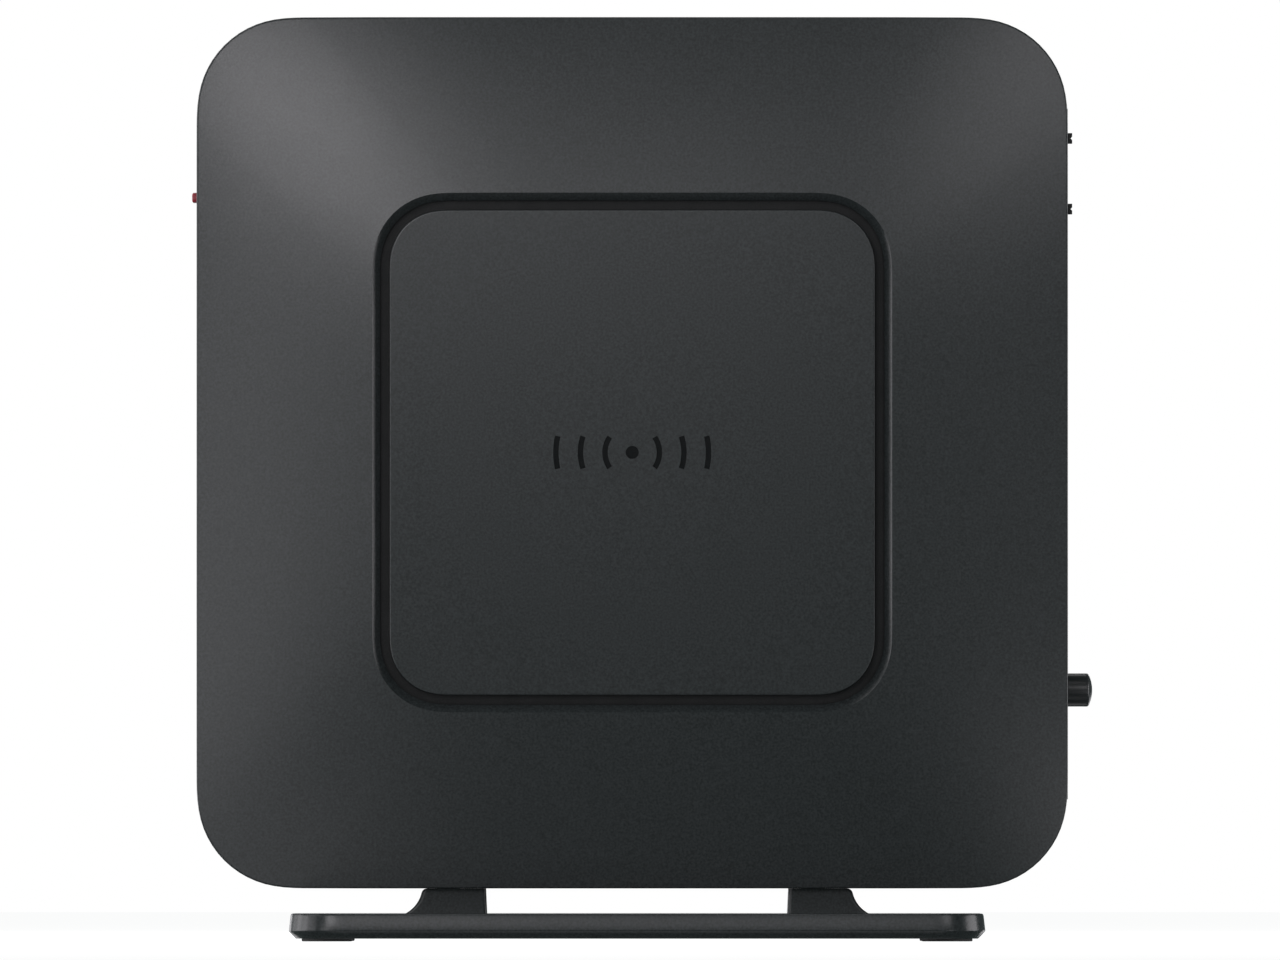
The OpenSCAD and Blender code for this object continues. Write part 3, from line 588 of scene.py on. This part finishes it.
def screw_post(x, z, side):
    """Hollow post: the right cover's holds the screw's head, the left cover's its thread."""
    short = 0.6                                         # how far it ends below the outside
    top = HALF_T - crown(x, z) - short
    if side > 0:
        outer_r, shank_r, head_floor = 3.6, 1.45, 2.2
        profile = [(outer_r, 0.0), (outer_r, top), (HEAD_R, top), (HEAD_R, head_floor),
                   (shank_r, head_floor), (shank_r, 0.0)]
    else:
        outer_r, pilot_r, start = 3.0, 1.25, -0.2
        profile = [(outer_r, start), (outer_r, -top), (pilot_r, -top), (pilot_r, start)]
    origin = (BODY_X + x, 0, BODY_Z + z)
    return lathe("post", profile + profile[:1], origin, "y", steps=32, caps=False)


def make_cover(node, side):
    """Side cover with its slots and screw posts; the right one is open over the screws' heads."""
    piece = loft(node + "_shell", cover_rings(side), closed=True)
    cutters = cover_cutters(side)
    if side > 0:
        hole_start, hole_end = 5.0, 16.0
        head_hole = [(HEAD_R, hole_start), (HEAD_R, hole_end)]
        for x, z in SCREW_POSTS:
            cutters.append(lathe("cutter", head_hole, (BODY_X + x, 0, BODY_Z + z), "y"))
    cut(piece, cutters)
    join([piece] + [screw_post(x, z, side) for x, z in SCREW_POSTS])
    smooth(piece)
    stand_in(piece, node)


# ---------------------------------------------------------------- centre panels
def panel_rings(side):
    """Rings of one centre panel, from the back of its flange to the middle of its face."""
    flange_t, foot_r, foot_mid = 1.2, 0.35, 0.1         # rounding at the wall's foot, halfway at mid
    face_steps, middle_scale = 12, 0.04
    flange = outline(FLANGE, FLANGE, FLANGE_REACH)
    wall = outline(PANEL, PANEL, PANEL_REACH)
    foot_outer = shrunk(PANEL, PANEL, PANEL_REACH, -foot_r)
    foot_middle = shrunk(PANEL, PANEL, PANEL_REACH, -foot_mid)
    rings = [
        on_side(flange, deeper(crown, FLANGE_DROP + flange_t), side),
        on_side(flange, deeper(crown, FLANGE_DROP), side),
        on_side(foot_outer, deeper(crown, FLANGE_DROP), side),
        on_side(foot_middle, deeper(crown, FLANGE_DROP - foot_mid), side),
        on_side(wall, deeper(crown, FLANGE_DROP - foot_r), side),
    ]
    rings += rounded_edge(PANEL, PANEL_REACH, PANEL_EDGE_R, panel_crown, side, turn=90, steps=5)
    edge = shrunk(PANEL, PANEL, PANEL_REACH, PANEL_EDGE_R + SUPPORT)
    middle = [(middle_scale * x, middle_scale * z) for x, z in edge]
    for step in range(face_steps + 1):
        rings.append(on_side(mixed(edge, middle, step / face_steps), panel_crown, side))
    return rings


def arc_band(radius, flip):
    """Outline of one arc of the mark, left or right of the dot."""
    steps, outer = 10, radius + MARK_LINE_HALF
    reach = math.asin(MARK_ARC_HALF / outer)
    loop = []
    for r, order in ((outer, 1), (radius - MARK_LINE_HALF, -1)):
        for k in range(steps + 1):
            a = reach * order * (2 * k / steps - 1)
            loop.append((flip * r * math.cos(a), r * math.sin(a)))
    return loop


def mark_cutters(side):
    """Generic signal mark: a dot between three pairs of arcs, as cutters."""
    over = 1.0
    levels = (side * (HALF_T - MARK_DEPTH), side * (HALF_T + over))
    dot = [(MARK_DOT_R, y) for y in levels]
    cutters = [lathe("cutter", dot, (BODY_X, 0, BODY_Z), "y", steps=40)]
    for radius in MARK_ARCS:
        for flip in (-1, 1):
            loop = arc_band(radius, flip)
            rings = [[(BODY_X + x, y, BODY_Z + z) for x, z in loop] for y in levels]
            cutters.append(loft("cutter", rings))
    return cutters


def make_panel(node, side):
    """Centre panel in its window; only the left one has the mark."""
    piece = loft(node + "_face", panel_rings(side))
    if side < 0:
        cut(piece, mark_cutters(side))
    smooth(piece)
    stand_in(piece, node)
    if side < 0:
        ink_mark(piece, side)
    # painted shade on the floor of the groove round the panel
    shade_groove_floor(piece, side)


def shade_groove_floor(piece, side):
    """Painted shade: a near-black matt finish on the flange, the floor of the groove round the panel,
    darkens it as shade would.
    """
    shade_depth = 1.2                                   # faces deeper than this take the painted shade
    # painted shade: the number of the near-black finish that darkens the groove's floor
    strip = add_finish(piece, "painted_groove_shade")
    for polygon in piece.data.polygons:
        x, y, z = polygon.center / MM
        if HALF_T - panel_crown(x - BODY_X, z - BODY_Z) - side * y > shade_depth:
            polygon.material_index = strip


def ink_mark(piece, side):
    """The floor of the engraved mark is glossy black."""
    half_width, half_height, tolerance = 15.0, 3.5, 0.02
    ink = add_finish(piece, "gloss_black")
    for polygon in piece.data.polygons:
        x, y, z = polygon.center / MM
        near_mark = abs(x - BODY_X) < half_width and abs(z - BODY_Z) < half_height
        if near_mark and abs(y - side * (HALF_T - MARK_DEPTH)) < tolerance:
            polygon.material_index = ink


# ---------------------------------------------------------------- stand
def plan(points, z, cx=0.0, cy=0.0):
    """Level ring at a height."""
    return [(cx + x, cy + y, z) for x, y in points]


def post_outer(z):
    """Outer face of a post at height z: a concave flare with a rounded shoulder."""
    middle_x, middle_z, radius = 45.3, 10.3, 5.88       # the arc that hollows the flare
    flare = middle_x - math.sqrt(max(radius ** 2 - (middle_z - z) ** 2, 0))
    lift = z - (POST_TOP - SHOULDER)
    if lift > 0:
        flare -= SHOULDER - math.sqrt(max(SHOULDER ** 2 - lift ** 2, 0))
    return flare


def make_post(sign):
    """One post, lofted from its flared foot, just inside the plate, to its top."""
    inner_foot, lean, lean_height, depth = 27.6, 0.2, 4.5, 22.0
    foot, layer, layers = PLATE_TOP - 0.15, 0.3, 12
    shoulder_drops = (SHOULDER, 0.6, 0.42, 0.26, 0.14, 0.05, 0)
    heights = [foot + k * layer for k in range(layers)] + [POST_TOP - drop for drop in shoulder_drops]
    rings = []
    for z in heights:
        inner = inner_foot + lean * (z - PLATE_TOP) / lean_height
        outer = post_outer(z)
        ring = outline(outer - inner, depth, POST_REACH)
        rings.append(plan([(sign * x, y) for x, y in ring], z, sign * (inner + outer) / 2))
    return loft("post", rings)


def plate_rings():
    """Level rings of the stand's plate, from its chamfered underside to its rounded top edge."""
    width, depth = PLATE
    chamfer, top_r = 1.3, 0.35
    low_z, top_z = PLATE_BOTTOM, PLATE_TOP
    sections = [                                        # inset from the outline, height
        (chamfer + 0.02, low_z), (chamfer, low_z + 0.01), (0.55, low_z + 0.75),
        (0.06, low_z + chamfer), (0.0, low_z + chamfer + 0.12), (0.0, low_z + chamfer + 0.35),
        (0.28, top_z - top_r - 0.1), (0.31, top_z - top_r), (0.36, top_z - 0.17),
        (0.48, top_z - 0.06), (0.66, top_z), (0.75, top_z),
    ]
    return [plan(shrunk(width, depth, PLATE_REACH, inset), z) for inset, z in sections]


def stand_cutters():
    """Seats for the feet, two screw holes countersunk from above, and four pockets underneath."""
    under, seat_r, seat_top = -1.0, FOOT_R + 0.1, 1.5
    cutters = [lathe("cutter", [(seat_r, under), (seat_r, seat_top)], (x, y, 0), "z") for x, y in FEET]
    screw_x, hole_r, head_r = 18, 2.1, 4.6
    hole = [(hole_r, under), (hole_r, 2.9), (head_r, 5.2), (head_r, 6.0)]
    for x in (-screw_x, screw_x):
        cutters.append(lathe("cutter", hole, (x, 0, 0), "z"))
    pocket_top, pocket_reach = 2.7, 3.5
    long_pocket, short_pocket = outline(94, 22, pocket_reach), outline(22, 12, pocket_reach)
    places = ((long_pocket, 0, -20), (long_pocket, 0, 20), (short_pocket, -40, 0), (short_pocket, 40, 0))
    for pocket, x, y in places:
        cutters.append(loft("cutter", [plan(pocket, z, x, y) for z in (under, pocket_top)]))
    return cutters


def hook(centre):
    """One hook of the stand: a neck up through the slot and a head that reaches over its edge."""
    neck_low, head_low, top = BODY_Z0 - 0.3, BODY_Z0 + WALL + 0.3, BODY_Z0 + WALL + 2.2
    start = centre - HOOK_START
    neck_end = start + HOOK_NECK
    neck = box_mesh("hook", (start, -HOOK_HALF, neck_low), (neck_end, HOOK_HALF, top), 0.2)
    head = box_mesh("hook", (start, -HOOK_HALF, head_low), (neck_end + HOOK_REACH, HOOK_HALF, top), 0.3)
    return [neck, head]


def make_stand():
    """Plate with its two posts and the hooks on top of them."""
    piece = loft("stand_moulding", plate_rings())
    cut(piece, stand_cutters())
    parts = [piece, make_post(1), make_post(-1)]
    for centre in HOOKS:
        parts += hook(centre)
    join(parts)
    smooth(piece)
    stand_in(piece, "stand_base")


def make_feet():
    """Four round pads with a softened lower edge."""
    profile = [(FOOT_R - 0.35, 0.0), (FOOT_R - 0.1, 0.03), (FOOT_R, 0.13), (FOOT_R, 1.4),
               (FOOT_R - 0.15, 1.45)]
    piece = join([lathe("stand_foot_pads", profile, (x, y, 0), "z", steps=56) for x, y in FEET])
    smooth(piece)
    stand_in(piece, "stand_feet")


# ---------------------------------------------------------------- buttons
def make_power_button():
    """Turned button with a domed end, a bore for its plunger and a collar behind the rear panel."""
    box_low, box_high = low("power_button_cap"), high("power_button_cap")
    cy, cz = (box_low[1] + box_high[1]) / 2, (box_low[2] + box_high[2]) / 2
    start, tip = box_low[0], box_high[0]
    r, fall, rim, bore_r, bore = 3.05, 0.75, 0.14, 1.9, 3
    collar_r, collar_start, collar_end = r + 0.8, 74.2, 75.5
    dome_r, dome_steps = (r * r + fall * fall) / (2 * fall), 9
    profile = [
        (bore_r, start + bore), (bore_r, start), (r - 0.2, start), (r, start + 0.2),
        (r, collar_start), (collar_r, collar_start), (collar_r, collar_end), (r, collar_end),
        (r, tip - fall - 2 * rim), (r - 0.03, tip - fall - 0.12),
    ]
    edge = math.asin((r - rim) / dome_r)                # the dome ends a rim's width from the side
    for k in range(dome_steps):
        a = edge * (1 - k / dome_steps)
        profile.append((dome_r * math.sin(a), tip - dome_r * (1 - math.cos(a))))
    profile.append((0.05, tip))
    piece = lathe("power_button_knob", profile, (0, cy, cz), "x", steps=64)
    smooth(piece, 40)
    stand_in(piece, "power_button_cap", MATERIALS["cap_plastic"])


def make_setup_button():
    """Bar with rounded ends, its collar behind the bezel and the stem to its switch."""
    width, height, reach, length = 7.0, 1.8, 0.89, 3.9
    box_low, box_high = low("setup_button"), high("setup_button")
    cz = (box_low[2] + box_high[2]) / 2
    face = box_low[0]
    rings = []
    for inset, back in ((0.42, 0), (0.2, 0.04), (0.06, 0.14), (0, 0.3), (0, length)):
        ring = shrunk(width, height, reach, inset)
        rings.append([(face + back, a, cz + b) for a, b in ring])
    piece = loft("setup_button_bar", rings)
    start, end, half_y, half_z = face + 3.28, face + 4.13, 4.8, 1.8
    collar = box_mesh("collar", (start, -half_y, cz - half_z), (end, half_y, cz + half_z), 0.1)
    start, end, low_y, high_y, half_z = face + 3.93, box_high[0], -1.5, 3.6, 0.9
    stem = box_mesh("stem", (start, low_y, cz - half_z), (end, high_y, cz + half_z), 0.1)
    join([piece, collar, stem])
    smooth(piece, 40)
    stand_in(piece, "setup_button")


def finish_cad():
    """Every piece without a stand-in is its CAD mesh, with its material and small roundings."""
    weld_distance = 0.001
    for node, cad in NODES.items():
        if cad.hide_render:
            continue
        paint(cad, MATERIALS[SLOT_OF[node]])
        weld = cad.modifiers.new("weld", "WELD")
        weld.merge_threshold = weld_distance * MM
        softened(cad, ROUNDING.get(node, DEFAULT_ROUNDING))


# ---------------------------------------------------------------- build
make_cover("left_cover", -1)
make_cover("right_cover", 1)
make_panel("left_panel", -1)
make_panel("right_panel", 1)
make_stand()
make_feet()
make_power_button()
make_setup_button()

ROUNDING = {
    "front_bezel": 0.18, "rear_panel": 0.18, "auto_switch_knob": 0.1, "mode_switch_knob": 0.1,
    "wan_jack_body": 0.12, "lan_jack_body": 0.12, "dc_jack_body": 0.15, "light_guide": 0.1,
    "heat_sink": 0.12, "shield_can_5g": 0.12, "shield_can_2g": 0.12, "network_transformers": 0.2,
    "power_inductors": 0.25, "capacitors": 0.2, "power_switch_body": 0.15, "case_screws": 0.1,
}
DEFAULT_ROUNDING = 0.06

finish_cad()


# ---------------------------------------------------------------- stage, lights, camera
def make_floor():
    """Pale floor for the camera, which neither lights nor shades the object."""
    half, grey, roughness, glow = 6.0, 0.3, 0.9, 0.94
    mesh = bpy.data.meshes.new("studio_floor")
    corners = [(-half, -half, 0), (half, -half, 0), (half, half, 0), (-half, half, 0)]
    mesh.from_pydata(corners, [], [(0, 1, 2, 3)])
    floor = bpy.data.objects.new("studio_floor", mesh)
    bpy.context.scene.collection.objects.link(floor)
    material, _, shader = new_material("floor_paint")
    shader.inputs["Base Color"].default_value = (grey, grey, grey, 1)
    shader.inputs["Roughness"].default_value = roughness
    shader.inputs["Specular IOR Level"].default_value = 0.0
    shader.inputs["Emission Color"].default_value = (1, 1, 1, 1)
    shader.inputs["Emission Strength"].default_value = glow
    paint(floor, material)
    floor.visible_diffuse = False
    floor.visible_glossy = False
    floor.visible_shadow = False


# Places and lengths of the stage, the lights and the camera are in m.
CAMERA_X, CAMERA_DISTANCE, CAMERA_HEIGHT = 0.00053, 7.5, 0.012
AIM_HEIGHT = 0.08482             # where the middle of the picture falls
FRAME_WIDTH = 0.23486            # what the picture takes in, at the body's side
LIGHT_AIM = Vector((0.0, 0.0, 0.09))
LIGHT_DISTANCE = 1.2
NEUTRAL, COOL = (1.0, 0.97, 1.0), (0.75, 1.0, 0.97)     # the lamps, and the surroundings' light
# A studio rig. Tilt is the angle off the side's own axis, and turn runs round that axis
# from the rear edge (0) over the top (90) to the front edge (180).
# name: (tilt, turn, size in m, power in W)
LIGHTS = {
    "key": (20, 135, 0.3, 1.5),
    "overhead": (10, 100, 0.3, 0.3),
    "front_fill": (25, 190, 0.35, 0.7),
    "low_front_fill": (25, 235, 0.3, 0.3),
    "rear_fill": (25, 40, 0.35, 0.9),
    "low_fill": (30, 330, 0.35, 0.6),
    "top": (50, 90, 0.4, 0.8),
    "skim_front": (66, 180, 0.8, 2.5),
    "skim_corner": (66, 135, 0.8, 2.5),
    "under": (60, 270, 0.5, 0.5),
}
# The same softboxes stand in front of the right side too, and these two wash the narrow edges.
EDGE_LIGHTS = {
    "rear_wash": (90, 0, 0.8, 6.0),
    "front_wash": (90, 180, 0.8, 4.0),
}
AMBIENT = 0.08                   # strength of the surroundings' light


def make_light(name, tilt, turn, size, power, side=-1):
    """Square softbox at a tilt and turn from one side's axis, facing the body."""
    data = bpy.data.lights.new(name, "AREA")
    data.shape = "SQUARE"
    data.size = size
    data.energy = power
    data.color = NEUTRAL
    lamp = bpy.data.objects.new(name, data)
    t, p = math.radians(tilt), math.radians(turn)
    out = Vector((math.sin(t) * math.cos(p), side * math.cos(t), math.sin(t) * math.sin(p)))
    lamp.location = LIGHT_AIM + out * LIGHT_DISTANCE
    lamp.rotation_mode = "QUATERNION"
    lamp.rotation_quaternion = (-out).to_track_quat("-Z", "Y")
    lamp.visible_camera = False
    bpy.context.scene.collection.objects.link(lamp)


def make_world():
    """Pale surroundings for the camera, dim ones for the light on the object."""
    world = bpy.data.worlds.new("studio")
    bpy.context.scene.world = world
    world.use_nodes = True
    tree = world.node_tree
    tree.nodes.clear()
    out = tree.nodes.new("ShaderNodeOutputWorld")
    seen = tree.nodes.new("ShaderNodeBackground")
    lit = tree.nodes.new("ShaderNodeBackground")
    seen.inputs["Color"].default_value = (1, 1, 1, 1)
    lit.inputs["Color"].default_value = (*COOL, 1)
    lit.inputs["Strength"].default_value = AMBIENT
    path = tree.nodes.new("ShaderNodeLightPath")
    mix = tree.nodes.new("ShaderNodeMixShader")
    tree.links.new(path.outputs["Is Camera Ray"], mix.inputs[0])
    tree.links.new(lit.outputs[0], mix.inputs[1])
    tree.links.new(seen.outputs[0], mix.inputs[2])
    tree.links.new(mix.outputs[0], out.inputs["Surface"])


def make_camera():
    """Very long lens, square to the left side, just above the stand and aimed up at the middle."""
    sensor_width, clip_end = 36.0, 50.0
    data = bpy.data.cameras.new("camera")
    data.sensor_width = sensor_width
    data.lens = sensor_width * (CAMERA_DISTANCE - HALF_T * MM) / FRAME_WIDTH
    data.clip_end = clip_end
    camera = bpy.data.objects.new("camera", data)
    camera.location = (CAMERA_X, -CAMERA_DISTANCE, CAMERA_HEIGHT)
    upwards = math.atan((AIM_HEIGHT - CAMERA_HEIGHT) / CAMERA_DISTANCE)
    camera.rotation_euler = (math.pi / 2 + upwards, 0, 0)
    bpy.context.scene.collection.objects.link(camera)
    bpy.context.scene.camera = camera


make_floor()
for light_name, values in LIGHTS.items():
    make_light(light_name, *values)
    make_light(light_name + "_behind", *values, side=1)
for light_name, values in EDGE_LIGHTS.items():
    make_light(light_name, *values)
make_world()
make_camera()
bpy.context.scene.view_settings.view_transform = "Standard"
